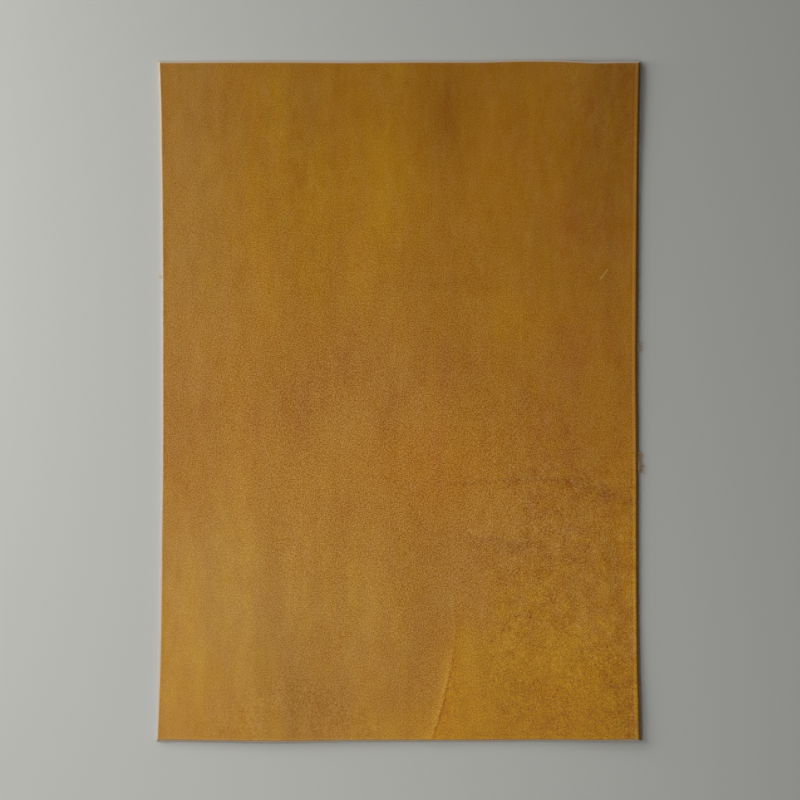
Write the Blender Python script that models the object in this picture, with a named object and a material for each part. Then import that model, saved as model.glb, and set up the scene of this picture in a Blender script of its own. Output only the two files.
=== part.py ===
"""A cut panel of ochre leather that lies flat with its grain side up.

One piece of leather is the whole object: a rectangle of about 210 by 297 mm, cut from a hide.
Its long sides bow in a little, two corners and two stretches of edge stand slightly off the
surface, and two lines cross its upper face: a crease that runs out at the bottom edge, and a
natural growth wrinkle that runs out at the right edge.

+X runs across the panel, +Y along its length and +Z up from the surface it lies on. The origin is
in the middle of the underside, on that surface. The script works in metres, and its tables are in
millimetres, as their column names say.
"""

from collections import namedtuple

import bmesh
import bpy
import numpy as np

MM = 0.001

PANEL_NAME = "leather_panel"
WIDTH = 212.4 * MM  # across the flesh side's bottom corners, the widest place
LENGTH = 298.9 * MM  # over the small bulges of the top and bottom edges
THICKNESS = 1.6 * MM
CUT_SLANT = 0.5 * MM  # how far the cut leans in on its way up from the flesh side
EDGE_ROUND = 0.3 * MM  # how far it then rounds the upper edge off
CELL = 7 * MM  # the spacing of the panel's columns and rows of faces
ROOM_BESIDE_SECTION = 0.6  # the least share of a cell between a close line and an even one

# How far each long side is cut in from a straight line, by the place along the panel.
Side = namedtuple("Side", "along_mm left_in_mm right_in_mm")
LONG_SIDES = (
    Side(-149.0, 0.0, 0.1),
    Side(-137.0, 0.45, 0.35),
    Side(-124.0, 0.95, 0.7),
    Side(-105.0, 1.4, 0.95),
    Side(-55.0, 1.95, 1.2),
    Side(-25.0, 2.3, 1.2),
    Side(12.0, 2.3, 1.5),
    Side(50.0, 2.25, 1.35),
    Side(85.0, 2.05, 1.0),
    Side(112.0, 1.7, 0.7),
    Side(130.0, 1.45, 0.45),
    Side(149.0, 0.85, 0.0),
)

# How far each short end is cut in from a straight line, by the place across the panel.
End = namedtuple("End", "across_mm bottom_in_mm top_in_mm")
SHORT_ENDS = (
    End(-106.0, 0.6, 0.65),
    End(-93.0, 0.4, 0.6),
    End(-75.0, 0.15, 0.5),
    End(-50.0, 0.0, 0.45),
    End(-25.0, 0.3, 0.65),
    End(10.0, 0.4, 0.45),
    End(35.0, 0.45, 0.45),
    End(55.0, 0.55, 0.0),
    End(72.0, 0.65, 0.2),
    End(88.0, 0.5, 0.85),
    End(96.0, 0.6, 0.7),
    End(106.0, 0.8, 0.65),
)

# Where the panel stands off the surface: a soft swell that is highest at a place on the outline
# and reaches so far across and along the panel.
Lift = namedtuple("Lift", "across_mm along_mm reach_across_mm reach_along_mm height_mm")
LIFTS = (
    Lift(105.5, -149.0, 55.0, 60.0, 1.0),  # bottom right corner
    Lift(105.5, 140.0, 45.0, 50.0, 0.6),  # top right corner
    Lift(-50.0, -149.0, 60.0, 40.0, 0.5),  # bottom edge, left of the middle
    Lift(86.0, 149.0, 22.0, 26.0, 0.4),  # small wave of the top edge
)

# The crease: a low ridge, steepest on its left side, that grows towards the bottom edge.
Crease = namedtuple("Crease", "along_mm across_mm height_mm")
CREASE = (
    Crease(-149.0, 14.7, 0.34),
    Crease(-139.0, 18.1, 0.34),
    Crease(-125.0, 21.6, 0.30),
    Crease(-114.0, 23.9, 0.18),
    Crease(-100.0, 25.3, 0.05),
    Crease(-86.0, 24.5, 0.00),
)
CREASE_COLUMN = 22 * MM  # the column of faces that bends to follow the crease

# The growth wrinkle: a shallow groove that deepens towards the right edge.
Wrinkle = namedtuple("Wrinkle", "across_mm along_mm depth_mm")
WRINKLE = (
    Wrinkle(8.0, -37.0, 0.00),
    Wrinkle(31.0, -36.2, 0.06),
    Wrinkle(62.0, -35.2, 0.10),
    Wrinkle(82.0, -37.4, 0.14),
    Wrinkle(95.0, -41.6, 0.14),
    Wrinkle(106.0, -46.0, 0.10),
)
WRINKLE_ROW = -37 * MM  # the row of faces that bends to follow the wrinkle

# A ridge's or groove's cross-section: the share of its full height that it has, by the distance
# to the right of its line, or above it.
Section = namedtuple("Section", "offset_mm share")
CREASE_SECTION = (
    Section(-4.4, 0.0),
    Section(-2.2, 0.30),
    Section(0.0, 1.0),
    Section(0.8, 0.86),
    Section(4.0, 0.50),
    Section(14.0, 0.0),
)
WRINKLE_SECTION = (Section(-1.8, 0.0), Section(0.0, 1.0), Section(1.8, 0.0))

# The grain side's colour in linear light, and its finish.
LEATHER_COLOUR = (0.34, 0.15, 0.027, 1.0)
LEATHER_ROUGHNESS = 0.55


def clear_scene():
    """Remove every object that the scene starts with."""
    for old in list(bpy.data.objects):
        bpy.data.objects.remove(old, do_unlink=True)


def read_table(table, place_column, value_column, place):
    """A value, in metres, at a place on the smooth curve through a table's rows."""
    places = np.array([getattr(row, place_column) for row in table]) * MM
    values = np.array([getattr(row, value_column) for row in table]) * MM
    slopes = np.gradient(values, places)
    place = min(max(place, places[0]), places[-1])
    first = min(int(np.searchsorted(places, place, side="right")) - 1, len(table) - 2)
    step = places[first + 1] - places[first]
    t = (place - places[first]) / step
    start = (1 + 2 * t) * (1 - t) ** 2 * values[first] + t * (1 - t) ** 2 * step * slopes[first]
    end = (3 - 2 * t) * t**2 * values[first + 1] + (t - 1) * t**2 * step * slopes[first + 1]
    return float(start + end)


def read_section(section, offset):
    """The share of its full height that a ridge or groove has at an offset from its line."""
    offsets = [corner.offset_mm * MM for corner in section]
    shares = [corner.share for corner in section]
    return float(np.interp(offset, offsets, shares))


def grid_lines(length, line_centre, section):
    """Even lines along one direction, with closer ones where a crease or wrinkle runs."""
    half = length / 2
    close = [line_centre + corner.offset_mm * MM for corner in section]
    even = np.linspace(-half, half, round(length / CELL) + 1)
    room = ROOM_BESIDE_SECTION * CELL
    kept = [line for line in even if line < close[0] - room or line > close[-1] + room]
    return sorted(kept + close)


def bend(line, line_centre, length, shift):
    """A grid line moved by a shift that is full at the line's centre and fades to the edges."""
    half = length / 2
    way_to_edge = half + line_centre if line < line_centre else half - line_centre
    return line + shift * (1 - abs(line - line_centre) / way_to_edge)


def place_on_panel(column, row, inset):
    """Where a grid point lies, with the outline drawn in by an inset."""
    left = read_table(LONG_SIDES, "along_mm", "left_in_mm", row) + inset
    right = read_table(LONG_SIDES, "along_mm", "right_in_mm", row) + inset
    bottom = read_table(SHORT_ENDS, "across_mm", "bottom_in_mm", column) + inset
    top = read_table(SHORT_ENDS, "across_mm", "top_in_mm", column) + inset
    across = (column + WIDTH / 2) / WIDTH
    along = (row + LENGTH / 2) / LENGTH
    x = -WIDTH / 2 + left + across * (WIDTH - left - right)
    y = -LENGTH / 2 + bottom + along * (LENGTH - bottom - top)
    return x, y


def lift_at(x, y):
    """How far the panel stands off the surface at a point."""
    lift = 0.0
    for swell in LIFTS:
        across = (x / MM - swell.across_mm) / swell.reach_across_mm
        along = (y / MM - swell.along_mm) / swell.reach_along_mm
        lift += swell.height_mm * MM * max(0.0, 1 - across**2 - along**2) ** 2
    return lift


def relief_at(column, row):
    """How far the grain side rises at a grid point, from the crease and the wrinkle."""
    ridge = read_table(CREASE, "along_mm", "height_mm", row)
    groove = read_table(WRINKLE, "across_mm", "depth_mm", column)
    rise = ridge * read_section(CREASE_SECTION, column - CREASE_COLUMN)
    drop = groove * read_section(WRINKLE_SECTION, row - WRINKLE_ROW)
    return rise - drop


def add_points(mesh, inset, height_at):
    """One layer of grid points, as a list of columns, at the height of each."""
    columns = grid_lines(WIDTH, CREASE_COLUMN, CREASE_SECTION)
    rows = grid_lines(LENGTH, WRINKLE_ROW, WRINKLE_SECTION)
    layer = []
    for column in columns:
        wrinkle_shift = read_table(WRINKLE, "across_mm", "along_mm", column) - WRINKLE_ROW
        points = []
        for row in rows:
            crease_shift = read_table(CREASE, "along_mm", "across_mm", row) - CREASE_COLUMN
            bent_column = bend(column, CREASE_COLUMN, WIDTH, crease_shift)
            bent_row = bend(row, WRINKLE_ROW, LENGTH, wrinkle_shift)
            x, y = place_on_panel(bent_column, bent_row, inset)
            points.append(mesh.verts.new((x, y, lift_at(x, y) + height_at(column, row))))
        layer.append(points)
    return layer


def fill_layer(mesh, layer, faces_up):
    """The faces between a layer's points."""
    for near, far in zip(layer, layer[1:]):
        for row in range(len(near) - 1):
            corners = [near[row], far[row], far[row + 1], near[row + 1]]
            mesh.faces.new(corners if faces_up else corners[::-1])


def rim(layer):
    """A layer's outer points, anticlockwise from the bottom left corner."""
    bottom = [points[0] for points in layer]
    right = layer[-1][1:]
    top = [points[-1] for points in layer[-2::-1]]
    left = layer[0][-2:0:-1]
    return bottom + right + top + left


def join_rims(mesh, lower, upper):
    """The band of faces between two rims with the same number of points."""
    for index in range(len(lower)):
        following = (index + 1) % len(lower)
        mesh.faces.new((lower[index], lower[following], upper[following], upper[index]))


def panel_mesh():
    """The closed solid: flesh side, cut edge, rounded upper edge and grain side.

    The shoulder is the rim where the cut edge ends and the rounded edge begins, so the inner
    points of its layer are spare.
    """
    mesh = bmesh.new()
    flesh = add_points(mesh, 0.0, lambda column, row: 0.0)
    shoulder = add_points(mesh, CUT_SLANT, lambda column, row: THICKNESS - EDGE_ROUND)
    grain_inset = CUT_SLANT + EDGE_ROUND
    grain = add_points(mesh, grain_inset, lambda column, row: THICKNESS + relief_at(column, row))
    fill_layer(mesh, flesh, faces_up=False)
    fill_layer(mesh, grain, faces_up=True)
    join_rims(mesh, rim(flesh), rim(shoulder))
    join_rims(mesh, rim(shoulder), rim(grain))
    spare = [point for point in mesh.verts if not point.link_faces]
    bmesh.ops.delete(mesh, geom=spare, context="VERTS")
    data = bpy.data.meshes.new(PANEL_NAME)
    mesh.to_mesh(data)
    mesh.free()
    return data


def leather_material():
    """Ochre leather with a dull, waxy grain side."""
    material = bpy.data.materials.new("ochre_leather")
    material.use_nodes = True
    surface = material.node_tree.nodes["Principled BSDF"]
    surface.inputs["Base Color"].default_value = LEATHER_COLOUR
    surface.inputs["Roughness"].default_value = LEATHER_ROUGHNESS
    surface.inputs["Metallic"].default_value = 0.0
    return material


def main():
    clear_scene()
    panel = bpy.data.objects.new(PANEL_NAME, panel_mesh())
    panel.data.materials.append(leather_material())
    bpy.context.scene.collection.objects.link(panel)


main()
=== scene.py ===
"""The looks of a cut panel of ochre leather that lies flat with its grain side up.

The panel is one closed mesh with three finishes: the waxed grain side, the pale fibrous cut edge
and the suede-like flesh side. A second piece holds the loose fibres of the cut edge. Lengths are
in millimetres in the tables and functions, and the meshes are made in metres.
"""

import math
import random
from collections import namedtuple

import bmesh
import bpy
import numpy as np
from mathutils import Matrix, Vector, noise


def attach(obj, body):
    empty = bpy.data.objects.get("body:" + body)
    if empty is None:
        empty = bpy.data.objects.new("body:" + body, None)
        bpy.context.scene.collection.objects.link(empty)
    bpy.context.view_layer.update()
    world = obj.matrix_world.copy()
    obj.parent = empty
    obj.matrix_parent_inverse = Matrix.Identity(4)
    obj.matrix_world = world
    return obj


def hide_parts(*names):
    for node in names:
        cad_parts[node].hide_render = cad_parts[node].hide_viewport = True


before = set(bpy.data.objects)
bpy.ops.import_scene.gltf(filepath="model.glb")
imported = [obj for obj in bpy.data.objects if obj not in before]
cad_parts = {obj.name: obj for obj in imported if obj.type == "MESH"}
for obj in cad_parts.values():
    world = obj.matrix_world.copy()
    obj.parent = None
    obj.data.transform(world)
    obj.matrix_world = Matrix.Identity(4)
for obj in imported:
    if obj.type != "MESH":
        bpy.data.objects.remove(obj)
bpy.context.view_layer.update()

MM = 0.001

# ---------------------------------------------------------------------------------------------
# The panel's shape, as its solid has it
# ---------------------------------------------------------------------------------------------

PANEL_NODE = "leather_panel"
WIDTH = 212.4
LENGTH = 298.9
THICKNESS = 1.6

# How far each long side is cut in from a straight line, by the place along the panel.
Side = namedtuple("Side", "along left_in right_in")
LONG_SIDES = (
    Side(-149.0, 0.0, 0.1),
    Side(-137.0, 0.45, 0.35),
    Side(-124.0, 0.95, 0.7),
    Side(-105.0, 1.4, 0.95),
    Side(-55.0, 1.95, 1.2),
    Side(-25.0, 2.3, 1.2),
    Side(12.0, 2.3, 1.5),
    Side(50.0, 2.25, 1.35),
    Side(85.0, 2.05, 1.0),
    Side(112.0, 1.7, 0.7),
    Side(130.0, 1.45, 0.45),
    Side(149.0, 0.85, 0.0),
)

# How far each short end is cut in from a straight line, by the place across the panel.
End = namedtuple("End", "across bottom_in top_in")
SHORT_ENDS = (
    End(-106.0, 0.6, 0.65),
    End(-93.0, 0.4, 0.6),
    End(-75.0, 0.15, 0.5),
    End(-50.0, 0.0, 0.45),
    End(-25.0, 0.3, 0.65),
    End(10.0, 0.4, 0.45),
    End(35.0, 0.45, 0.45),
    End(55.0, 0.55, 0.0),
    End(72.0, 0.65, 0.2),
    End(88.0, 0.5, 0.85),
    End(96.0, 0.6, 0.7),
    End(106.0, 0.8, 0.65),
)

# Soft swells where the panel stands off the surface.
Lift = namedtuple("Lift", "across along reach_across reach_along height")
LIFTS = (
    Lift(105.5, -149.0, 55.0, 60.0, 1.0),
    Lift(105.5, 140.0, 45.0, 50.0, 0.6),
    Lift(-50.0, -149.0, 60.0, 40.0, 0.5),
    Lift(86.0, 149.0, 22.0, 26.0, 0.4),
)

# The crease: a low ridge that grows towards the bottom edge.
Crease = namedtuple("Crease", "along across height")
CREASE = (
    Crease(-149.0, 14.7, 0.34),
    Crease(-139.0, 18.1, 0.34),
    Crease(-125.0, 21.6, 0.30),
    Crease(-114.0, 23.9, 0.18),
    Crease(-100.0, 25.3, 0.05),
    Crease(-86.0, 24.5, 0.00),
)
CREASE_COLUMN = 22.0  # the column of points that bends to follow the crease

# The share of its full height that the ridge has, by the distance to the right of its line.
Section = namedtuple("Section", "offset share")
CREASE_SECTION = (
    Section(-4.4, 0.0),
    Section(-2.2, 0.30),
    Section(0.0, 1.0),
    Section(0.8, 0.86),
    Section(4.0, 0.50),
    Section(14.0, 0.0),
)

# The growth wrinkle: a shallow groove that deepens towards the right edge.
Wrinkle = namedtuple("Wrinkle", "across along depth half_width")
WRINKLE = (
    Wrinkle(8.0, -37.0, 0.00, 0.6),
    Wrinkle(31.0, -36.2, 0.06, 0.7),
    Wrinkle(62.0, -35.2, 0.10, 0.9),
    Wrinkle(82.0, -37.4, 0.14, 2.0),
    Wrinkle(95.0, -41.6, 0.14, 2.0),
    Wrinkle(106.0, -46.0, 0.10, 1.6),
)
WRINKLE_ROW = -37.0  # the row of points that bends to follow the wrinkle

# ---------------------------------------------------------------------------------------------
# What the looks add to it
# ---------------------------------------------------------------------------------------------

PITCH = 1.05  # between the grain side's columns and rows of points
CLOSE_PITCH = 0.42  # between those near the crease and the wrinkle
CREASE_REACH = (-5.0, 5.0)  # from where to where, to the right of the crease, they lie close
WRINKLE_REACH = (-4.2, 4.2)  # and above the wrinkle

# How the cut rounds the rim of the grain side: height over the face, by the distance in. The
# outermost columns and rows of points lie at these distances.
Lip = namedtuple("Lip", "inside rise")
LIP = (
    Lip(0.0, -0.06),
    Lip(0.12, -0.01),
    Lip(0.30, 0.02),
    Lip(0.60, 0.03),
    Lip(1.00, 0.02),
    Lip(1.35, 0.01),
    Lip(1.70, 0.0),
    Lip(2.05, 0.0),
    Lip(2.60, 0.0),
)

# The cut edge, from the grain side down: how far in from the outline it lies, as a share of the
# side's slant, and its height as a share of the thickness.
Wall = namedtuple("Wall", "slant_share height_share")
WALL = (
    Wall(0.84, 0.86),
    Wall(0.58, 0.66),
    Wall(0.34, 0.42),
    Wall(0.12, 0.18),
)
SPREAD = 0.3  # how far the lowest fibres reach past the solid's outline
STEEP_TOP = (60.0, 115.0)  # from where to where along it the right cut grows steeper
STEEP_BY = 0.6  # how far that draws its foot in

# The four cuts: how far each slants, as the knife wasn't upright; its tone, a painted light or
# shade that makes each side's cut lighter or darker for how the light falls on it; and stain, how
# far a painted shade darkens and reddens it, which only the right cut, in the panel's own shadow,
# has.
Cut = namedtuple("Cut", "slant tone stain")
CUTS = {
    "left": Cut(0.82, 0.70, 0.0),
    "right": Cut(1.40, 1.00, 0.9),
    "bottom": Cut(1.00, 1.00, 0.0),
    "top": Cut(1.00, 0.96, 0.0),
}

# Which heights of the cuts the grain side's finish reaches, and the painted shade of the right
# cut, as shares of the thickness: from where they start to where they are full.
UNDER_GRAIN = (0.75, 1.0)
PAINTED_SHADE_HEIGHTS = (-0.1, 0.65)

# Low relief in lumps of a size: soft swells all over the panel, and pebbles in the spotted part
# of the grain. The layer picks one of the noise's many patterns.
Relief = namedtuple("Relief", "height size_across size_along layer")
SWELLS = Relief(0.05, 11.0, 46.0, 3.7)
PEBBLES = Relief(0.03, 2.6, 2.6, 9.1)
RELIEF_FADE = (1.0, 5.0)  # from where to where inside the edge it grows to its full height
FRACTAL = (0.6, 2.1, 3)  # its noise: how smooth it is, the step between octaves, their number


def soft_step(low, high, value):
    """0 below low, 1 above high, and smooth between them."""
    t = np.clip((value - low) / (high - low), 0, 1)
    return t * t * (3 - 2 * t)


def soft_spot(*offsets):
    """1 in the middle of a spot, fading to 0 around it, by offsets counted in its half sizes."""
    return np.exp(-0.5 * sum(offset**2 for offset in offsets))


def smooth_curve(table, place_column, value_column, places):
    """Values at places on the smooth curve through a table's rows."""
    at = np.array([getattr(row, place_column) for row in table])
    values = np.array([getattr(row, value_column) for row in table])
    slopes = np.gradient(values, at)
    places = np.clip(places, at[0], at[-1])
    first = np.clip(np.searchsorted(at, places, side="right") - 1, 0, len(table) - 2)
    step = at[first + 1] - at[first]
    t = (places - at[first]) / step
    start = (1 + 2 * t) * (1 - t) ** 2 * values[first] + t * (1 - t) ** 2 * step * slopes[first]
    end = (3 - 2 * t) * t**2 * values[first + 1] + (t - 1) * t**2 * step * slopes[first + 1]
    return start + end


def grid_lines(length, line_centre, reach):
    """An even number of gaps: close to the two edges and to the line, and PITCH elsewhere."""
    half = length / 2
    low, high = line_centre + reach[0], line_centre + reach[1]
    edge = [step.inside for step in LIP]
    close = np.linspace(low, high, round((high - low) / CLOSE_PITCH) + 1)
    inner = edge[-1]
    before = np.linspace(inner - half, low, round((low + half - inner) / PITCH) + 1)
    after = np.linspace(high, half - inner, round((half - inner - high) / PITCH) + 1)
    lines = [inside - half for inside in edge[:-1]]
    lines += list(before) + list(close[1:-1]) + list(after)
    lines += [half - inside for inside in edge[-2::-1]]
    if len(lines) % 2 == 0:
        middle = len(edge) + len(before) // 2
        lines.insert(middle, (lines[middle - 1] + lines[middle]) / 2)
    return np.array(lines)


def bend(lines, line_centre, length, shift):
    """Grid lines moved by a shift that is full at the line's centre and fades to the edges."""
    half = length / 2
    way_to_edge = np.where(lines < line_centre, half + line_centre, half - line_centre)
    return lines + shift * (1 - np.abs(lines - line_centre) / way_to_edge)


def place_on_panel(columns, rows, slant_share):
    """Where grid points lie, with each side drawn in by a share of its slant."""
    wrinkle_shift = smooth_curve(WRINKLE, "across", "along", columns) - WRINKLE_ROW
    crease_shift = smooth_curve(CREASE, "along", "across", rows) - CREASE_COLUMN
    across = bend(columns, CREASE_COLUMN, WIDTH, crease_shift)
    along = bend(rows, WRINKLE_ROW, LENGTH, wrinkle_shift)
    inset = {side: slant_share * cut.slant - SPREAD for side, cut in CUTS.items()}
    left = smooth_curve(LONG_SIDES, "along", "left_in", along) + inset["left"]
    steep = STEEP_BY * soft_step(*STEEP_TOP, along) * (1 - slant_share)
    right = smooth_curve(LONG_SIDES, "along", "right_in", along) + inset["right"] + steep
    bottom = smooth_curve(SHORT_ENDS, "across", "bottom_in", across) + inset["bottom"]
    top = smooth_curve(SHORT_ENDS, "across", "top_in", across) + inset["top"]
    x = -WIDTH / 2 + left + (across / WIDTH + 0.5) * (WIDTH - left - right)
    y = -LENGTH / 2 + bottom + (along / LENGTH + 0.5) * (LENGTH - bottom - top)
    return x, y


def lift_at(x, y):
    """How far the panel stands off the surface."""
    lift = 0.0
    for swell in LIFTS:
        across = (x - swell.across) / swell.reach_across
        along = (y - swell.along) / swell.reach_along
        lift = lift + swell.height * np.maximum(0, 1 - across**2 - along**2) ** 2
    return lift


def inside_sides(x, y):
    """How far points lie inside each side of the panel."""
    return {
        "left": WIDTH / 2 + x,
        "right": WIDTH / 2 - x,
        "bottom": LENGTH / 2 + y,
        "top": LENGTH / 2 - y,
    }


def wrinkle_band(columns, rows):
    """The wrinkle's soft cross-section: 1 along its line, fading to 0 on both sides."""
    half_width = smooth_curve(WRINKLE, "across", "half_width", columns)
    return soft_spot((rows - WRINKLE_ROW) / half_width)


def low_relief(x, y, relief):
    """Soft noise with a relief's height, in lumps of its size."""
    heights = []
    for across, along in zip(x.ravel() / relief.size_across, y.ravel() / relief.size_along):
        heights.append(noise.fractal(Vector((across, along, relief.layer)), *FRACTAL))
    return relief.height * np.array(heights).reshape(x.shape)


def relief_at(columns, rows, x, y):
    """How far the grain side rises over its plain height."""
    ridge = smooth_curve(CREASE, "along", "height", rows)
    offsets = [corner.offset for corner in CREASE_SECTION]
    shares = [corner.share for corner in CREASE_SECTION]
    rise = ridge * np.interp(columns - CREASE_COLUMN, offsets, shares)
    drop = smooth_curve(WRINKLE, "across", "depth", columns) * wrinkle_band(columns, rows)
    from_edge = np.min(list(inside_sides(columns, rows).values()), axis=0)
    lip = np.interp(from_edge, [step.inside for step in LIP], [step.rise for step in LIP])
    swells = low_relief(x, y, SWELLS)
    pebbles = low_relief(x, y, PEBBLES) * spotted_share(x, y)
    return rise - drop + lip + np.interp(from_edge, RELIEF_FADE, (0, 1)) * (swells + pebbles)
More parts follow.
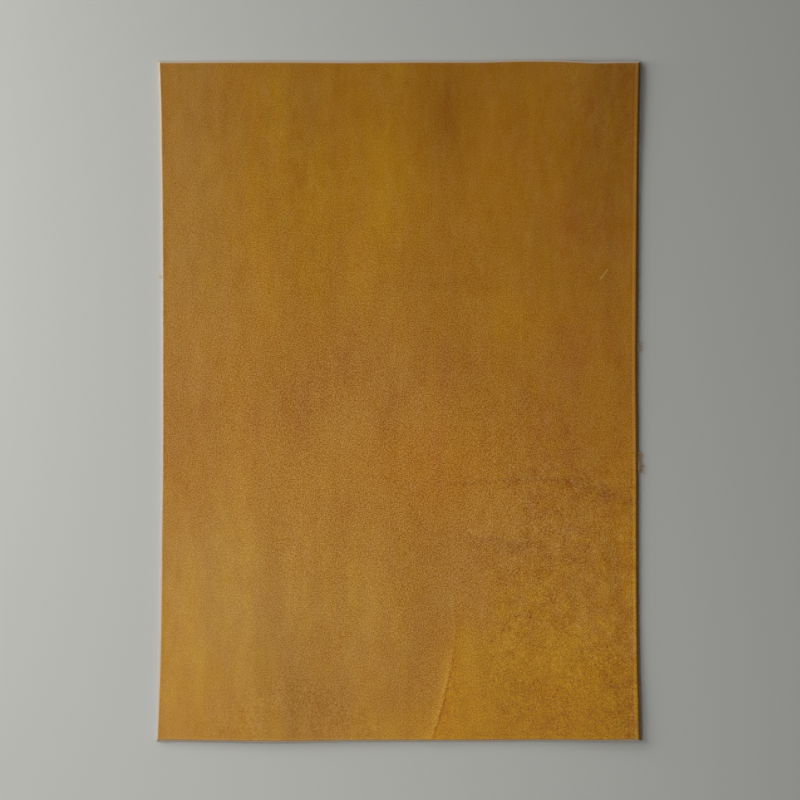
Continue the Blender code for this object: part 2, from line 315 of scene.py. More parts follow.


# ---------------------------------------------------------------------------------------------
# The marks of the hide: where the grain side is lighter or darker, and redder or yellower
# ---------------------------------------------------------------------------------------------

# Each mark is a soft oval. Its tilt turns its top to the right, tone is the share by which it
# lightens the leather, warmth goes from -1, red brown, to 1, golden, and haze is a pale haze:
# partly the wax's bloom and partly a painted sheen, which is strongest down the left side and at
# the lower left.
Mark = namedtuple("Mark", "across along half_across half_along tilt tone warmth haze")
MARKS = (
    # broad changes over the whole panel
    Mark(0, 165, 300, 60, 0, -0.18, 0.00, 0.0),
    Mark(105, 150, 40, 60, 0, -0.08, -0.20, 0.0),
    Mark(99, 142, 8, 12, 0, -0.02, -0.18, 0.0),
    Mark(40, 120, 28, 32, 0, 0.08, -0.05, -0.1),
    Mark(-10, 95, 35, 40, 0, 0.00, 0.18, -0.03),
    Mark(3, 102, 15, 16, 0, 0.00, 0.22, 0.0),
    Mark(-8, 144, 12, 9, 0, 0.00, 0.22, 0.0),
    # the pale haze of these marks down the left side and at the lower left is partly the wax's
    # bloom and partly a painted sheen
    Mark(-95, 125, 16, 30, 0, -0.08, -0.10, 0.25),
    Mark(-98, 45, 16, 50, 0, -0.09, -0.10, 0.22),
    Mark(-80, 56, 22, 42, 0, -0.07, 0.33, 0.18),
    Mark(-78, -12, 26, 26, 0, 0.01, -0.17, -0.02),
    Mark(-10, 5, 38, 26, 0, -0.03, -0.30, 0.12),
    Mark(24, -18, 26, 22, 0, 0.05, 0.00, 0.0),
    Mark(95, 5, 35, 70, 0, 0.04, -0.28, 0.0),
    Mark(72, -12, 10, 16, 0, 0.00, -0.12, 0.0),
    Mark(98, 8, 6, 18, 0, -0.04, -0.17, 0.0),
    Mark(18, -33, 22, 14, 0, 0.10, 0.00, -0.22),
    Mark(44, -42, 8, 8, 0, 0.00, 0.00, 0.15),
    Mark(98, -60, 8, 42, 0, 0.03, 0.25, -0.10),
    Mark(104, -62, 4, 34, 0, 0.03, 0.10, 0.05),
    Mark(100, -100, 6, 12, 0, -0.03, -0.28, 0.0),
    Mark(58, -82, 10, 10, 0, 0.02, 0.25, -0.05),
    Mark(102, -137, 7, 10, 0, -0.07, -0.25, 0.0),
    Mark(86, -96, 14, 14, 0, 0.00, 0.10, 0.22),
    Mark(50, -59, 20, 11, 0, 0.00, -0.10, 0.18),
    Mark(28, -84, 7, 24, 0, 0.00, -0.15, 0.15),
    Mark(62, -126, 14, 12, 0, -0.04, 0.00, -0.12),
    Mark(60, -114, 12, 14, 0, 0.05, 0.25, 0.0),
    Mark(-85, -68, 20, 32, 0, -0.04, -0.08, 0.28),
    Mark(-88, -36, 9, 12, 0, 0.02, 0.00, -0.15),
    Mark(-62, -105, 34, 45, 0, -0.13, 0.10, 0.09),
    Mark(-40, -80, 60, 50, 0, 0.03, 0.32, 0.23),
    Mark(-100, -110, 25, 35, 0, 0.03, 0.25, 0.15),
    Mark(85, -95, 40, 45, 0, 0.06, 0.10, -0.05),
    Mark(65, -128, 30, 24, 0, 0.03, 0.50, -0.35),
    Mark(28, -138, 7, 16, 14, 0.10, 0.10, -0.20),
    Mark(55, -147, 34, 9, 0, 0.00, 0.20, -0.15),
    Mark(0, -144, 20, 8, 0, 0.06, 0.35, -0.05),
    Mark(72, -143, 18, 9, 0, 0.04, 0.85, -0.20),
    Mark(-57, -144, 12, 8, 0, -0.02, 0.35, 0.0),
    # upper half: streaks that run along the panel
    Mark(20, 128, 8, 21, 0, -0.11, -0.44, -0.03),
    Mark(-6, 98, 8, 30, 0, 0.04, 0.25, 0.0),
    Mark(-16, 60, 4, 18, 0, 0.06, 0.15, 0.05),
    Mark(-4, 58, 4, 20, 0, 0.01, 0.10, 0.05),
    Mark(0, 18, 3, 14, -12, 0.03, 0.10, 0.05),
    Mark(66, 120, 6, 28, -5, 0.05, 0.00, 0.0),
    Mark(62, 138, 16, 14, 0, 0.02, 0.12, 0.02),
    Mark(56, 112, 6, 12, 0, 0.00, -0.08, 0.0),
    Mark(77, 50, 5, 28, -8, 0.02, -0.05, -0.05),
    Mark(71, 15, 6, 28, 0, 0.00, -0.20, 0.0),
    Mark(70, 58, 5, 10, 0, 0.00, 0.30, 0.0),
    Mark(54, 30, 10, 14, 0, 0.00, 0.00, -0.10),
    Mark(48, 90, 12, 18, 0, 0.03, 0.15, 0.0),
    Mark(-56, 132, 5, 18, 0, 0.02, 0.42, 0.05),
    Mark(-42, 130, 7, 18, 0, -0.06, 0.05, 0.05),
    Mark(-46, 97, 17, 16, 0, 0.01, 0.30, -0.08),
    Mark(-39, 62, 9, 18, 0, -0.03, 0.38, -0.02),
    Mark(-84, 26, 6, 12, 0, 0.04, -0.22, 0.0),
    Mark(-90, 100, 10, 22, 0, 0.03, 0.10, 0.0),
    Mark(-59, 52, 4, 16, 0, 0.05, 0.10, 0.0),
    Mark(88, 90, 10, 35, 0, -0.03, -0.12, 0.0),
    Mark(70, 88, 8, 34, -6, 0.00, -0.14, 0.0),
    Mark(84, 26, 7, 16, 0, 0.00, -0.08, 0.0),
    Mark(-48, 92, 9, 18, 0, -0.03, -0.05, 0.0),
    # middle
    Mark(48, 36, 14, 14, 0, 0.06, 0.48, 0.0),
    Mark(26, 18, 8, 9, 0, -0.03, -0.22, 0.0),
    Mark(36, 51, 40, 2, 0, -0.04, -0.05, 0.0),
    Mark(-97, -12, 10, 20, 0, -0.07, -0.42, 0.10),
    Mark(-46, -2, 9, 14, 0, -0.06, -0.25, 0.0),
    Mark(-15, 20, 13, 8, 0, -0.01, -0.18, 0.08),
    Mark(20, 4, 8, 12, 0, 0.03, -0.14, 0.0),
    Mark(15.5, 4, 3, 20, 0, 0.02, 0.12, 0.0),
    Mark(-16, 43, 12, 7, 0, -0.02, 0.15, 0.03),
    Mark(76, -38, 6, 4, 0, 0.01, 0.20, 0.0),
    Mark(92, -41, 10, 2.0, 20, -0.06, -0.08, 0.0),
    Mark(-2, -18, 10, 8, 0, 0.00, -0.10, -0.12),
    Mark(-20, -18, 12, 12, 0, 0.02, 0.15, 0.15),
    Mark(-99, 1, 6, 10, 0, 0.00, 0.30, 0.0),
    Mark(85, 1, 6, 10, 0, 0.00, 0.50, 0.0),
    Mark(30, -6, 8, 12, 0, 0.00, 0.30, -0.05),
    Mark(15, -24, 8, 13, 0, 0.01, -0.40, 0.0),
    Mark(10, -38, 7, 4, 0, -0.03, -0.28, 0.0),
    Mark(-24, -46, 11, 4, 0, 0.00, -0.35, 0.0),
    # lower half
    Mark(-70, -80, 5, 40, 0, 0.05, 0.18, 0.10),
    Mark(-44, -78, 5, 26, 5, 0.04, -0.05, 0.12),
    Mark(-36, -134, 5, 11, 0, -0.02, -0.25, -0.05),
    Mark(-11, -85, 6, 28, 0, 0.03, 0.15, 0.18),
    Mark(-30, -102, 3, 12, 0, 0.04, 0.05, 0.0),
    Mark(9, -80, 9, 24, 0, -0.05, -0.20, -0.10),
    Mark(56, -66, 17, 2, 13, -0.06, -0.20, 0.0),
    Mark(56.5, -48, 1.2, 10, 0, -0.04, -0.20, 0.0),
    Mark(-45, -129, 4.5, 17, 3, -0.07, -0.20, 0.0),
    Mark(-26, -130, 4, 13, 0, -0.06, -0.10, 0.0),
    Mark(0, -122, 7, 10, 0, -0.05, -0.10, 0.0),
    Mark(-92, -112, 10, 18, 0, 0.03, 0.20, 0.0),
    Mark(-101, -78, 5, 14, 0, -0.05, 0.00, 0.05),
    Mark(-56, -80, 6, 12, 0, 0.00, -0.20, 0.0),
    Mark(0, -80, 5, 12, 0, 0.00, 0.20, 0.0),
    Mark(-14, -121, 18, 7, 0, 0.04, 0.00, 0.0),
    Mark(34, -124, 10, 18, 0, 0.04, 0.35, 0.0),
    Mark(24, -60, 9, 7, 0, 0.00, -0.18, 0.0),
    Mark(23.6, -95, 0.7, 9, -3, 0.05, 0.15, 0.05),
    Mark(76, -124, 14, 14, 0, 0.03, 0.40, 0.0),
    Mark(40, -68, 10, 8, 0, -0.02, -0.10, 0.0),
    Mark(95, -128, 8, 16, 0, -0.02, -0.08, 0.0),
)

# The crest and the flanks of the crease. The right flank is lighter and yellower where the
# stretched wax lost its bloom; the left flank, which faces the lamps, gets a painted highlight,
# and the crest has less of the pale bloom and painted sheen. Each mark comes in and goes out
# between two distances to the right of the crease's line.
CreaseMark = namedtuple("CreaseMark", "place comes_in goes_out tone warmth haze")
CREASE_MARKS = (
    CreaseMark("crest", (-0.5, 0.2), (1.5, 0.6), 0.03, 0.00, -0.50),
    CreaseMark("left flank", (-3.0, -1.0), (0.2, -0.6), 0.03, 0.00, 0.10),
    CreaseMark("right flank", (0.4, 1.4), (7.5, 2.0), 0.17, 0.15, -0.45),
)

# The wrinkle, which comes in between two places across the panel.
WrinkleMark = namedtuple("WrinkleMark", "comes_in tone warmth haze")
WRINKLE_MARK = WrinkleMark((0.0, 40.0), -0.08, -0.18, 0.00)

# Soft lines along the cut, by the side they follow and how far inside it they run. Most are
# painted light and shade of the rounded rim: a painted highlight a little inside the right cut and
# along the bottom, and painted shade just inside the left and top cuts, where the rim slopes away
# from the lamps. The thin dark line on the right is a pressed line, and the broad band on the
# right is lighter.
Border = namedtuple("Border", "side inside half_width tone warmth haze")
RIM_LINES_AND_PAINTED_LIGHT = (
    Border("right", 3.4, 2.0, 0.04, 0.0, 0.0),
    Border("right", 1.95, 0.25, -0.06, -0.50, 0.0),
    # painted highlight on the rim's slope that faces the lamps
    Border("right", 1.1, 0.55, 0.06, 0.60, 0.20),
    Border("right", 0.2, 0.4, -0.06, 0.0, 0.35),
    # painted shade where the rim slopes away from the lamps
    Border("left", 0.2, 0.4, -0.16, 0.0, 0.10),
    # painted highlight on the bottom rim
    Border("bottom", 0.3, 0.4, -0.03, 0.15, 0.40),
    # painted shade where the rim slopes away from the lamps
    Border("top", 0.3, 0.4, -0.06, 0.0, 0.25),
)

# Fine scratches, by their two ends.
Scratch = namedtuple("Scratch", "from_across from_along to_across to_along half_width strength")
SCRATCHES = (
    Scratch(91.3, 57.5, 88.3, 53.7, 0.45, 0.8),
    Scratch(14.3, -63.9, 17.1, -60.5, 0.35, 0.4),
    Scratch(22.1, -90.1, 24.3, -86.5, 0.35, 0.3),
    Scratch(4.9, -36.5, 8.1, -39.7, 0.35, 0.4),
)

# The grain is spotted in the lower right quarter: from where to where that grows.
SPOTTED_ACROSS = (14, 62)
SPOTTED_ALONG = (30, -75)

# The fine grain shows most in a broad band from upper left to lower right.
GRAIN_MIDDLE = (10, -45)
GRAIN_WAY = (0.75, -0.66)
GRAIN_HALF_SIZES = (118, 75)  # along the band and across it
LEAST_GRAIN = 0.2


def marks_at(x, y, column):
    """The sum of one column of the marks."""
    total = np.zeros_like(x)
    for mark in MARKS:
        turn = math.radians(mark.tilt)
        dx, dy = x - mark.across, y - mark.along
        across = (dx * math.cos(turn) - dy * math.sin(turn)) / mark.half_across
        along = (dx * math.sin(turn) + dy * math.cos(turn)) / mark.half_along
        total += getattr(mark, column) * soft_spot(across, along)
    return total


def spotted_share(x, y):
    """How strongly the grain is spotted: full in the lower right quarter of the panel."""
    return soft_step(*SPOTTED_ACROSS, x) * soft_step(*SPOTTED_ALONG, y)


def grain_share(x, y):
    """How strongly the fine grain shows: fullest along the middle of its band."""
    dx, dy = x - GRAIN_MIDDLE[0], y - GRAIN_MIDDLE[1]
    along = (dx * GRAIN_WAY[0] + dy * GRAIN_WAY[1]) / GRAIN_HALF_SIZES[0]
    across = (dy * GRAIN_WAY[0] - dx * GRAIN_WAY[1]) / GRAIN_HALF_SIZES[1]
    return LEAST_GRAIN + (1 - LEAST_GRAIN) * soft_spot(along, across)


def cut_at(x, y, column):
    """One column of the nearest side's cut."""
    inside = inside_sides(x, y)
    nearest = np.argmin(list(inside.values()), axis=0)
    return np.array([getattr(CUTS[side], column) for side in inside])[nearest]


def line_marks_at(columns, rows, column):
    """What the crease, the wrinkle and the lines along the cut, with their painted highlights and
    shade, add to one column of the marks.
    """
    beside = columns - CREASE_COLUMN
    ridge = np.sqrt(smooth_curve(CREASE, "along", "height", rows) / CREASE[0].height)
    total = np.zeros_like(columns)
    for mark in CREASE_MARKS:
        shown = ridge * soft_step(*mark.comes_in, beside) * soft_step(*mark.goes_out, beside)
        total += getattr(mark, column) * shown
    shown = wrinkle_band(columns, rows) * soft_step(*WRINKLE_MARK.comes_in, columns)
    total += getattr(WRINKLE_MARK, column) * shown
    inside = inside_sides(columns, rows)
    for border in RIM_LINES_AND_PAINTED_LIGHT:
        off = (inside[border.side] - border.inside) / border.half_width
        total += getattr(border, column) * soft_spot(off)
    return total


# ---------------------------------------------------------------------------------------------
# Materials
# ---------------------------------------------------------------------------------------------

# Colours in linear light.
RED_BROWN = (0.470, 0.158, 0.020, 1)
OCHRE = (0.525, 0.222, 0.014, 1)
GOLDEN = (0.580, 0.276, 0.004, 1)
BLOOM_AND_SHEEN = (0.110, 0.105, 0.060)  # a pale haze: the wax's bloom, with a painted sheen and painted highlights on the crests of the grain
LEAST_COLOUR = (0.001, 0.001, 0.001)  # no channel goes below this
SCRATCH_COLOUR = (0.68, 0.45, 0.14, 1)
PALE_FIBRE = (0.74, 0.59, 0.41, 1)
DARK_FIBRE = (0.40, 0.20, 0.085, 1)
LOOSE_FIBRE = (0.92, 0.70, 0.42, 1)
FLESH_LIGHT = (0.60, 0.42, 0.23, 1)
FLESH_DARK = (0.44, 0.27, 0.120, 1)

PIT_FLOOR = 0.3  # the share of its radius within which a pit is at its deepest
PIT_RARITY = 3.0  # how much rarer deep pits are than shallow ones


def connect(tree, socket, value):
    """Feed a socket from another one, or set its value."""
    if isinstance(value, bpy.types.NodeSocket):
        tree.links.new(value, socket)
    else:
        socket.default_value = value


def add_node(tree, kind, inputs, **settings):
    """A node with its settings made and its inputs fed."""
    node = tree.nodes.new(kind)
    for name, value in settings.items():
        setattr(node, name, value)
    for key, value in inputs.items():
        connect(tree, node.inputs[key], value)
    return node


def calculate(tree, operation, *values, **settings):
    """A Math node's result."""
    inputs = dict(enumerate(values))
    return add_node(tree, "ShaderNodeMath", inputs, operation=operation, **settings).outputs[0]


def weighted_sum(tree, start, *terms):
    """A start value plus each term's value times its weight."""
    total = start
    for value, weight in terms:
        total = calculate(tree, "MULTIPLY_ADD", value, weight, total)
    return total


def fade(tree, value, at_none, at_full):
    """A smooth share: 0 where a value is at_none, and 1 where it is at_full."""
    ends = {"From Min": at_none, "From Max": at_full, "To Min": 0.0, "To Max": 1.0}
    if at_none > at_full:
        ends = {"From Min": at_full, "From Max": at_none, "To Min": 1.0, "To Max": 0.0}
    inputs = {"Value": value, **ends}
    node = add_node(tree, "ShaderNodeMapRange", inputs, interpolation_type="SMOOTHSTEP")
    return node.outputs["Result"]


def place_in(tree, size, turn=0.0):
    """The place on the panel, counted in lumps of a size in millimetres turned by degrees."""
    place = add_node(tree, "ShaderNodeTexCoord", {}).outputs["Object"]
    scale = [side * MM for side in size]
    inputs = {"Vector": place, "Rotation": (0, 0, math.radians(turn)), "Scale": scale}
    return add_node(tree, "ShaderNodeMapping", inputs, vector_type="TEXTURE").outputs["Vector"]


def cloud(tree, size, turn=0.0, detail=2.0, roughness=0.5):
    """Soft noise from about -0.5 to 0.5, with lumps of a size in millimetres."""
    place = place_in(tree, size, turn)
    inputs = {"Vector": place, "Scale": 1.0, "Detail": detail, "Roughness": roughness}
    fac = add_node(tree, "ShaderNodeTexNoise", inputs).outputs["Fac"]
    return calculate(tree, "SUBTRACT", fac, 0.5)


def share(tree, name):
    """A value that the mesh carries at its points."""
    return add_node(tree, "ShaderNodeAttribute", {}, attribute_name=name).outputs["Fac"]


def blend_colours(tree, factor, first, second):
    """A mix of two colours."""
    inputs = {0: factor, 6: first, 7: second}
    return add_node(tree, "ShaderNodeMix", inputs, data_type="RGBA").outputs[2]


def scaled(tree, vector, factor):
    """A colour or a vector times a factor."""
    inputs = {0: vector, "Scale": factor}
    return add_node(tree, "ShaderNodeVectorMath", inputs, operation="SCALE").outputs[0]


def combine(tree, operation, first, second):
    """Two colours or vectors added, or combined in another way, part by part."""
    node = add_node(tree, "ShaderNodeVectorMath", {0: first, 1: second}, operation=operation)
    return node.outputs[0]


def measure(tree, operation, *vectors):
    """A number that one or two vectors give, such as a length."""
    node = add_node(tree, "ShaderNodeVectorMath", dict(enumerate(vectors)), operation=operation)
    return node.outputs["Value"]


def bump(tree, surface, height, distance):
    """Give a surface a relief: heights from 0 to 1 that stand for a distance in millimetres."""
    inputs = {"Height": height, "Distance": distance * MM, "Strength": 1.0}
    connect(tree, surface.inputs["Normal"], add_node(tree, "ShaderNodeBump", inputs).outputs[0])


def new_material(name):
    """An empty material, its tree and its Principled shader."""
    material = bpy.data.materials.new(name)
    material.use_nodes = True
    tree = material.node_tree
    return material, tree, tree.nodes["Principled BSDF"]


def pits(tree, size, radius):
    """Scattered round pits, one in each lump of a size: up to 1 in their middles and 0 outside."""
    inputs = {"Vector": place_in(tree, (size, size, size)), "Scale": 1.0}
    scattered = add_node(tree, "ShaderNodeTexVoronoi", inputs)
    edge = radius / size
    depth = fade(tree, scattered.outputs["Distance"], edge, PIT_FLOOR * edge)
    chance = add_node(tree, "ShaderNodeSeparateColor", {"Color": scattered.outputs["Color"]})
    deepest = calculate(tree, "POWER", chance.outputs[0], PIT_RARITY)
    return calculate(tree, "MULTIPLY", depth, deepest)


def scratch_share(tree, scratch):
    """How much of a scratch shows: its strength along its line, and 0 beside it."""
    start = Vector((scratch.from_across, scratch.from_along, 0)) * MM
    way = Vector((scratch.to_across, scratch.to_along, 0)) * MM - start
    place = add_node(tree, "ShaderNodeTexCoord", {}).outputs["Object"]
    off = combine(tree, "MULTIPLY", combine(tree, "SUBTRACT", place, start), (1, 1, 0))
    reach = measure(tree, "DOT_PRODUCT", off, way)
    along = calculate(tree, "MULTIPLY", reach, 1 / way.length_squared, use_clamp=True)
    gap = combine(tree, "SUBTRACT", off, scaled(tree, way, along))
    shown = fade(tree, measure(tree, "LENGTH", gap), scratch.half_width * MM, 0.0)
    return calculate(tree, "MULTIPLY", shown, scratch.strength)


def clouded_colour(tree, spots):
    """The leather's colour in broad clouds, from red brown through ochre to golden."""
    warmth = weighted_sum(
        tree,
        0.5,
        (share(tree, "warmth"), 0.5),
        (cloud(tree, (8.0, 30.0, 8.0), detail=3.0), 0.5),
        (cloud(tree, (4.0, 6.0, 4.0)), 0.4),
        (spots, 0.90),
    )
    colour = blend_colours(tree, fade(tree, warmth, 0.0, 0.5), RED_BROWN, OCHRE)
    return blend_colours(tree, fade(tree, warmth, 0.5, 1.0), colour, GOLDEN)


def fine_grain(tree, grain, spotted):
    """The grain itself: speckles, and hair-thin lines that slant and cross."""
    speckles = cloud(tree, (0.55, 0.55, 0.55), detail=0.0)
    hairlines = cloud(tree, (1.3, 0.30, 1.0), turn=48, detail=0.0)
    cross_lines = cloud(tree, (1.3, 0.30, 1.0), turn=-42, detail=0.0)
    lines = weighted_sum(tree, hairlines, (cross_lines, 0.8))
    lines = calculate(tree, "MULTIPLY", lines, weighted_sum(tree, 0.25, (spotted, 0.75)))
    fine = weighted_sum(tree, 0.0, (speckles, 1.0), (lines, 0.45))
    return calculate(tree, "MULTIPLY", fine, grain)


def grain_material():
    """The waxed grain side: clouded ochre with a fine grain, pits, a pale bloom that is partly
    painted sheen, and scratches.
    """
    material, tree, surface = new_material("leather_grain")
    grain = share(tree, "grain")
    spotted = share(tree, "spotted")
    fine = fine_grain(tree, grain, spotted)
    spots = cloud(tree, (5.5, 4.5, 5.0), detail=3.0)
    spots = calculate(tree, "MULTIPLY", spots, spotted)
    bloom_and_sheen_clouds = cloud(tree, (4.0, 5.0, 4.0), turn=35, detail=3.0)
    bloom_and_sheen_clouds = calculate(tree, "MULTIPLY", bloom_and_sheen_clouds, spotted)
    crumbs = calculate(tree, "MULTIPLY", cloud(tree, (1.2, 1.2, 1.2)), spotted)
    pore_share = weighted_sum(tree, 0.05, (grain, 0.25), (spotted, 0.3))
    pores = calculate(tree, "MULTIPLY", pits(tree, size=1.9, radius=0.5), pore_share)

    # how light it is, and how much pale haze lies on it: the wax's bloom and a painted sheen, with
    # painted highlights on the crests of the fine grain
    tone = weighted_sum(
        tree,
        1.0,
        (share(tree, "tone"), 1.0),
        (fine, 0.27),
        (cloud(tree, (5.0, 30.0, 5.0), detail=3.0), 0.14),
        (crumbs, 0.13),
        (spots, 0.25),
        (pores, -0.6),
    )
    haze = weighted_sum(
        tree,
        share(tree, "haze"),
        (fine, 3.9),
        (cloud(tree, (2.4, 7.0, 3.0)), 0.50),
        (cloud(tree, (6.0, 14.0, 6.0)), 0.50),
        (crumbs, 0.6),
        (bloom_and_sheen_clouds, 1.2),
        (pores, -1.2),
    )
    colour = scaled(tree, clouded_colour(tree, spots), tone)
    # the pale haze added on top: partly the wax's bloom, partly a painted sheen and painted
    # highlights
    colour = combine(tree, "ADD", colour, scaled(tree, BLOOM_AND_SHEEN, haze))
    colour = combine(tree, "MAXIMUM", colour, LEAST_COLOUR)
    for scratch in SCRATCHES:
        colour = blend_colours(tree, scratch_share(tree, scratch), colour, SCRATCH_COLOUR)
    connect(tree, surface.inputs["Base Color"], colour)

    patches = cloud(tree, (6.0, 9.0, 6.0), detail=3.0)
    connect(tree, surface.inputs["Roughness"], weighted_sum(tree, 0.46, (patches, 0.15)))
    surface.inputs["Specular IOR Level"].default_value = 0.3
    bump(tree, surface, weighted_sum(tree, 0.5, (fine, 1.0), (pores, -1.5)), distance=0.02)
    return material


def cut_edge_material():
    """The cut edge: pale matted fibres, darker under the grain side's finish, painted lighter or
    darker by side for how the light falls on each cut, and with a painted shade that darkens and
    reddens the right cut.
    """
    material, tree, surface = new_material("leather_cut_edge")
    fibres = cloud(tree, (1.0, 1.0, 0.17), detail=4.0, roughness=0.65)
    stain, under_grain = share(tree, "cut_painted_shade"), share(tree, "under_grain")
    factor = weighted_sum(tree, 0.10, (under_grain, 0.80), (stain, 1.0), (fibres, 0.5))
    colour = blend_colours(tree, factor, PALE_FIBRE, DARK_FIBRE)
    colour = scaled(tree, colour, share(tree, "cut_painted_tone"))
    connect(tree, surface.inputs["Base Color"], colour)
    surface.inputs["Roughness"].default_value = 0.85
    surface.inputs["Specular IOR Level"].default_value = 0.2
    bump(tree, surface, fibres, distance=0.12)
    return material


def flesh_material():
    """The flesh side: buffed suede, with a short nap and soft clouds."""
    material, tree, surface = new_material("leather_flesh")
    nap = cloud(tree, (0.45, 1.3, 0.45), turn=20, detail=4.0, roughness=0.7)
    clouds = cloud(tree, (14.0, 14.0, 14.0), detail=4.0, roughness=0.6)
    factor = weighted_sum(tree, 0.5, (nap, 1.4), (clouds, 1.1))
    colour = blend_colours(tree, factor, FLESH_DARK, FLESH_LIGHT)
    connect(tree, surface.inputs["Base Color"], colour)
    surface.inputs["Roughness"].default_value = 0.95
    surface.inputs["Specular IOR Level"].default_value = 0.15
    surface.inputs["Sheen Weight"].default_value = 0.25
    bump(tree, surface, nap, distance=0.15)
    return material


def fibre_material():
    """The loose fibres, some pale and some brown."""
    material, tree, surface = new_material("leather_fibre")
    tint = weighted_sum(tree, 0.8, (cloud(tree, (2.0, 2.0, 2.0)), 2.0))
    colour = blend_colours(tree, tint, DARK_FIBRE, LOOSE_FIBRE)
    connect(tree, surface.inputs["Base Color"], colour)
    surface.inputs["Roughness"].default_value = 0.8
    return material


# ---------------------------------------------------------------------------------------------
# Meshes
# ---------------------------------------------------------------------------------------------

GRAIN_SIDE, CUT_EDGE, FLESH_SIDE = range(3)  # the places of their materials on the panel


def rim(layer):
    """A layer's outer points, anticlockwise from the bottom left corner."""
    right = layer[-1, 1:]
    top = layer[-2::-1, -1]
    left = layer[0, -2:0:-1]
    return np.concatenate([layer[:, 0], right, top, left])


def numbered(first, shape):
    """The numbers of a layer's points, laid out as the layer is."""
    return np.arange(first, first + shape[0] * shape[1]).reshape(shape)


def quads(layer):
    """The faces between a layer's points, seen from above."""
    corners = (layer[:-1, :-1], layer[1:, :-1], layer[1:, 1:], layer[:-1, 1:])
    return np.stack([corner.ravel() for corner in corners], axis=1)


def panel_points():
    """The panel's points, faces and finishes, and what its grain side carries at each point.

    The grain side's points come first, then the rings of the cut, then the flesh side, which has
    every other column and row.
    """
    columns = grid_lines(WIDTH, CREASE_COLUMN, CREASE_REACH)
    rows = grid_lines(LENGTH, WRINKLE_ROW, WRINKLE_REACH)
    column, row = np.meshgrid(columns, rows, indexing="ij")
    x, y = place_on_panel(column, row, 1.0)
    z = lift_at(x, y) + THICKNESS + relief_at(column, row, x, y)
    grain = numbered(0, x.shape)
    points = [np.stack([x.ravel(), y.ravel(), z.ravel()], axis=1)]
    values = {
        "spotted": spotted_share(x, y).ravel(),
        "grain": grain_share(x, y).ravel(),
    }
    for name in ("tone", "warmth", "haze"):
        values[name] = (marks_at(x, y, name) + line_marks_at(column, row, name)).ravel()
    faces = [tuple(face) for face in quads(grain)]
    finishes = [GRAIN_SIDE] * len(faces)

    count = grain.size
    ring = rim(grain)
    ring_column, ring_row = rim(column), rim(row)
    for wall in WALL:
        wall_x, wall_y = place_on_panel(ring_column, ring_row, wall.slant_share)
        wall_z = lift_at(wall_x, wall_y) + THICKNESS * wall.height_share
        points.append(np.stack([wall_x, wall_y, wall_z], axis=1))
        lower = np.arange(count, count + len(ring))
        count += len(ring)
        faces += band(lower, ring)
        finishes += [CUT_EDGE] * len(ring)
        ring = lower

    flesh_column, flesh_row = column[::2, ::2], row[::2, ::2]
    x, y = place_on_panel(flesh_column, flesh_row, 0.0)
    flesh = numbered(count, x.shape)
    points.append(np.stack([x.ravel(), y.ravel(), lift_at(x, y).ravel()], axis=1))
    flesh_faces = [tuple(face[::-1]) for face in quads(flesh)]
    faces += flesh_faces
    finishes += [FLESH_SIDE] * len(flesh_faces)
    seam = stepped_band(rim(flesh), ring)
    faces += seam
    finishes += [CUT_EDGE] * len(seam)
    return np.concatenate(points), faces, finishes, values


def band(lower, upper):
    """Faces between two rings with the same number of points."""
    lower_next, upper_next = np.roll(lower, -1), np.roll(upper, -1)
    return list(zip(lower, lower_next, upper_next, upper))


def stepped_band(lower, upper):
    """Faces between a ring and one above it with twice as many points."""
    faces = []
    for index in range(len(lower)):
        after = lower[(index + 1) % len(lower)]
        middle = upper[2 * index + 1]
        far = upper[(2 * index + 2) % len(upper)]
        faces.append((lower[index], middle, upper[2 * index]))
        faces.append((lower[index], after, middle))
        faces.append((after, far, middle))
    return faces


def cut_values(points):
    """What the cut edge's material reads at each point."""
    x, y, z = points.T
    height_share = np.clip((z - lift_at(x, y)) / THICKNESS, 0, 1)
    return {
        "under_grain": soft_step(*UNDER_GRAIN, height_share),
        # painted light and shade of each side's cut, and the painted shade of the right cut
        "cut_painted_tone": cut_at(x, y, "tone"),
        "cut_painted_shade": cut_at(x, y, "stain") * soft_step(*PAINTED_SHADE_HEIGHTS, height_share),
    }


def make_panel():
    """The whole panel as one closed mesh."""
    points, faces, finishes, values = panel_points()
    data = bpy.data.meshes.new("leather_sheet")
    data.from_pydata((points * MM).tolist(), [], [[int(i) for i in face] for face in faces])
    for material in (grain_material(), cut_edge_material(), flesh_material()):
        data.materials.append(material)
    data.polygons.foreach_set("material_index", finishes)
    data.shade_smooth()
    for name, numbers in {**values, **cut_values(points)}.items():
        carried = np.zeros(len(points))
        carried[: len(numbers)] = numbers
        data.attributes.new(name, "FLOAT", "POINT").data.foreach_set("value", carried)
    data.validate()
    data.update()
    panel = bpy.data.objects.new("leather_sheet", data)
    bpy.context.scene.collection.objects.link(panel)
    return panel


# Loose fibres on the cuts: short fuzz all along each side, and tufts where the knife caught. A
# tuft stands on a stretch of a side, as far as its reach to both sides of its middle. It leans
# from straight out by degrees, anticlockwise.
Tuft = namedtuple("Tuft", "side middle reach count length lean radius")
TUFTS = (
    Tuft("left", 0.0, 147.0, 60, 0.4, 0, 0.06),
    Tuft("right", 0.0, 147.0, 500, 1.1, -20, 0.08),
    Tuft("bottom", 0.0, 104.0, 180, 0.8, 0, 0.07),
    Tuft("top", 0.0, 104.0, 60, 0.4, 0, 0.06),
    Tuft("right", -26.0, 3.8, 70, 2.4, -45, 0.11),
    Tuft("right", -29.2, 1.4, 10, 3.2, -24, 0.12),
    Tuft("right", 24.6, 1.4, 10, 3.0, -20, 0.10),
    Tuft("left", 54.4, 0.4, 7, 2.0, -10, 0.11),
    Tuft("bottom", -103.0, 1.6, 14, 1.1, 0, 0.09),
)
OUTWARD = {"left": 180, "right": 0, "bottom": -90, "top": 90}  # degrees from the right
FIBRE_SIDES = 3
FIBRE_STEPS = 6
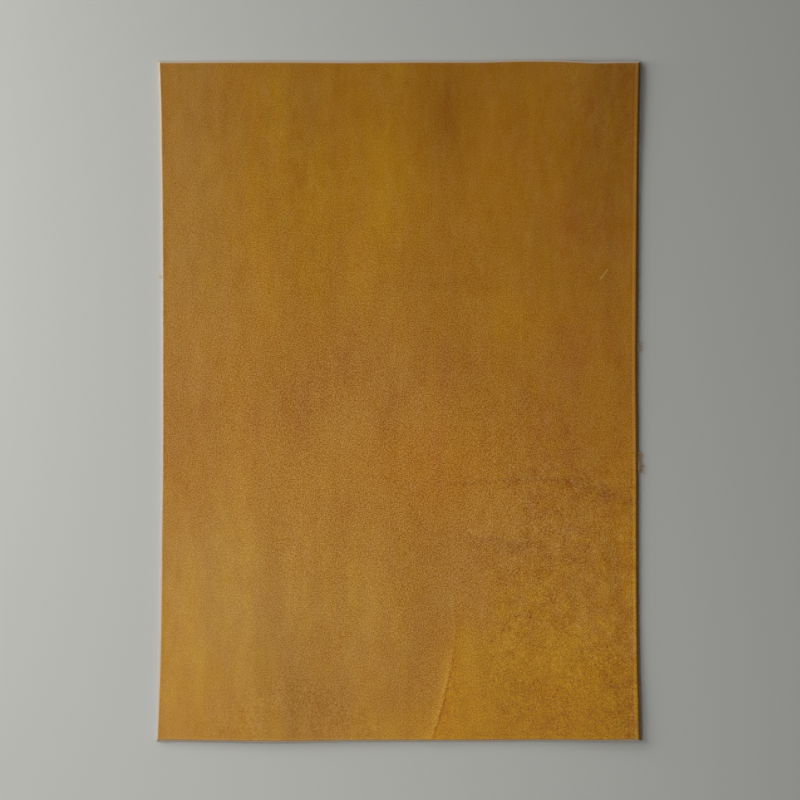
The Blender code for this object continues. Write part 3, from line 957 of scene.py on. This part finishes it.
FIBRE_SEED = 11
ROOT_DEPTH = (0.1, 0.55)  # how high up the cut fibres start, as a share of the thickness
HEADING_SPREAD = 20  # how much their headings differ, in degrees
LENGTH_SPREAD = (0.6, 1.3)  # the shortest and the longest, times the tuft's length
TURN = 70  # the most that a fibre turns on its way, in degrees
CLIMB = (-0.25, 0.15)  # its rise for each step ahead, at its root
SINK = 0.2  # how much less it rises at its tip
TAPER = 0.75  # the share of its radius that it loses


def root_on_cut(side, place, depth):
    """A point just under the surface of a cut, at a place along it and a share of its slant."""
    long_side = side in ("left", "right")
    table = LONG_SIDES if long_side else SHORT_ENDS
    place_column = "along" if long_side else "across"
    inset = smooth_curve(table, place_column, side + "_in", place)
    inset = inset + depth * CUTS[side].slant - SPREAD
    out = (WIDTH if long_side else LENGTH) / 2 - inset
    if side in ("left", "bottom"):
        out = -out
    x, y = (out, place) if long_side else (place, out)
    return Vector((x, y, lift_at(x, y) + THICKNESS * depth))


def add_fibre(mesh, root, heading, length, base_radius, chance):
    """One curved, tapering fibre that leaves the cut edge and sinks towards the floor."""
    rings = []
    turn = chance.uniform(-TURN, TURN)
    climb = chance.uniform(*CLIMB)
    place = Vector(root)
    for step in range(FIBRE_STEPS):
        share_out = step / (FIBRE_STEPS - 1)
        angle = math.radians(heading + turn * share_out)
        ahead = Vector((math.cos(angle), math.sin(angle), climb - SINK * share_out))
        side = Vector((-math.sin(angle), math.cos(angle), 0))
        radius = base_radius * (1 - TAPER * share_out)
        ring = []
        for corner in range(FIBRE_SIDES):
            around = 2 * math.pi * corner / FIBRE_SIDES
            offset = side * math.cos(around) + Vector((0, 0, 1)) * math.sin(around)
            ring.append(mesh.verts.new((place + offset * radius) * MM))
        rings.append(ring)
        place = place + ahead.normalized() * length / (FIBRE_STEPS - 1)
        place.z = max(place.z, 2 * base_radius)
    for near, far in zip(rings, rings[1:]):
        for corner in range(FIBRE_SIDES):
            after = (corner + 1) % FIBRE_SIDES
            mesh.faces.new((near[corner], near[after], far[after], far[corner]))
    mesh.faces.new(rings[0][::-1])
    mesh.faces.new(rings[-1])


def make_fibres():
    """The tufts of loose fibres as one mesh."""
    chance = random.Random(FIBRE_SEED)
    mesh = bmesh.new()
    for tuft in TUFTS:
        for _ in range(tuft.count):
            place = tuft.middle + chance.uniform(-tuft.reach, tuft.reach)
            root = root_on_cut(tuft.side, place, chance.uniform(*ROOT_DEPTH))
            heading = OUTWARD[tuft.side] + tuft.lean + chance.gauss(0, HEADING_SPREAD)
            length = tuft.length * chance.uniform(*LENGTH_SPREAD)
            add_fibre(mesh, root, heading, length, tuft.radius, chance)
    bmesh.ops.recalc_face_normals(mesh, faces=mesh.faces)
    data = bpy.data.meshes.new("loose_fibres")
    mesh.to_mesh(data)
    mesh.free()
    data.shade_smooth()
    data.materials.append(fibre_material())
    fibres = bpy.data.objects.new("loose_fibres", data)
    bpy.context.scene.collection.objects.link(fibres)
    return fibres


# ---------------------------------------------------------------------------------------------
# Studio: floor, light and camera
# ---------------------------------------------------------------------------------------------

PHOTO_SIDE = 800  # pixels
MM_PER_PIXEL = 0.4383
PANEL_MIDDLE = (398.6, 400.7)  # the pixel of the panel's middle
CAMERA_HEIGHT = 1600.0
SENSOR = 36.0

FLOOR_SIDE = 4000.0
FLOOR_COLOUR = (0.60, 0.60, 0.565, 1)
FLOOR_ROUGHNESS = 0.9

# Soft lamps aimed at the panel's middle. A lamp's heading is counted anticlockwise from the right,
# and its elevation up from the floor, both in degrees.
Lamp = namedtuple("Lamp", "name heading elevation distance width height watts")
LAMPS = (
    Lamp("near_window", 168, 19, 685, 150, 563, 3.7),
    Lamp("far_window", 129, 21, 1300, 900, 407, 6.4),
    Lamp("ceiling", -108, 54, 550, 418, 418, 1.0),
)
FILL_STRENGTH = 0.02


def make_floor():
    """A plain pale floor."""
    data = bpy.data.meshes.new("floor")
    half = FLOOR_SIDE / 2 * MM
    corners = [(-half, -half, 0), (half, -half, 0), (half, half, 0), (-half, half, 0)]
    data.from_pydata(corners, [], [(0, 1, 2, 3)])
    material, _, surface = new_material("floor_card")
    surface.inputs["Base Color"].default_value = FLOOR_COLOUR
    surface.inputs["Roughness"].default_value = FLOOR_ROUGHNESS
    surface.inputs["Specular IOR Level"].default_value = 0.2
    data.materials.append(material)
    floor = bpy.data.objects.new("floor", data)
    bpy.context.scene.collection.objects.link(floor)


def make_lamps():
    """The soft lamps, as area lights."""
    for lamp in LAMPS:
        light = bpy.data.lights.new(lamp.name, "AREA")
        light.shape = "RECTANGLE"
        light.size = lamp.width * MM
        light.size_y = lamp.height * MM
        light.energy = lamp.watts
        heading, elevation = math.radians(lamp.heading), math.radians(lamp.elevation)
        level = lamp.distance * math.cos(elevation)
        height = lamp.distance * math.sin(elevation)
        place = Vector((level * math.cos(heading), level * math.sin(heading), height))
        stand = bpy.data.objects.new(lamp.name, light)
        stand.location = place * MM
        stand.rotation_euler = (-stand.location).to_track_quat("-Z", "Y").to_euler()
        bpy.context.scene.collection.objects.link(stand)


def make_fill_light():
    """Even light from all round, as from the room."""
    world = bpy.data.worlds.new("room")
    world.use_nodes = True
    background = world.node_tree.nodes["Background"]
    background.inputs["Color"].default_value = (1, 1, 1, 1)
    background.inputs["Strength"].default_value = FILL_STRENGTH
    bpy.context.scene.world = world


def make_camera():
    """A camera straight above, framed as the photograph is."""
    middle = (PHOTO_SIDE - 1) / 2
    lens = bpy.data.cameras.new("camera")
    lens.sensor_width = SENSOR
    lens.lens = SENSOR * (CAMERA_HEIGHT - THICKNESS) / (PHOTO_SIDE * MM_PER_PIXEL)
    camera = bpy.data.objects.new("camera", lens)
    x = (middle - PANEL_MIDDLE[0]) * MM_PER_PIXEL
    y = (PANEL_MIDDLE[1] - middle) * MM_PER_PIXEL
    camera.location = Vector((x, y, CAMERA_HEIGHT)) * MM
    bpy.context.scene.collection.objects.link(camera)
    bpy.context.scene.camera = camera


panel = make_panel()
fibres = make_fibres()
for piece in (panel, fibres):
    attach(piece, "root")
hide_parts(PANEL_NODE)

make_floor()
make_lamps()
make_fill_light()
make_camera()
bpy.context.scene.view_settings.view_transform = "Standard"
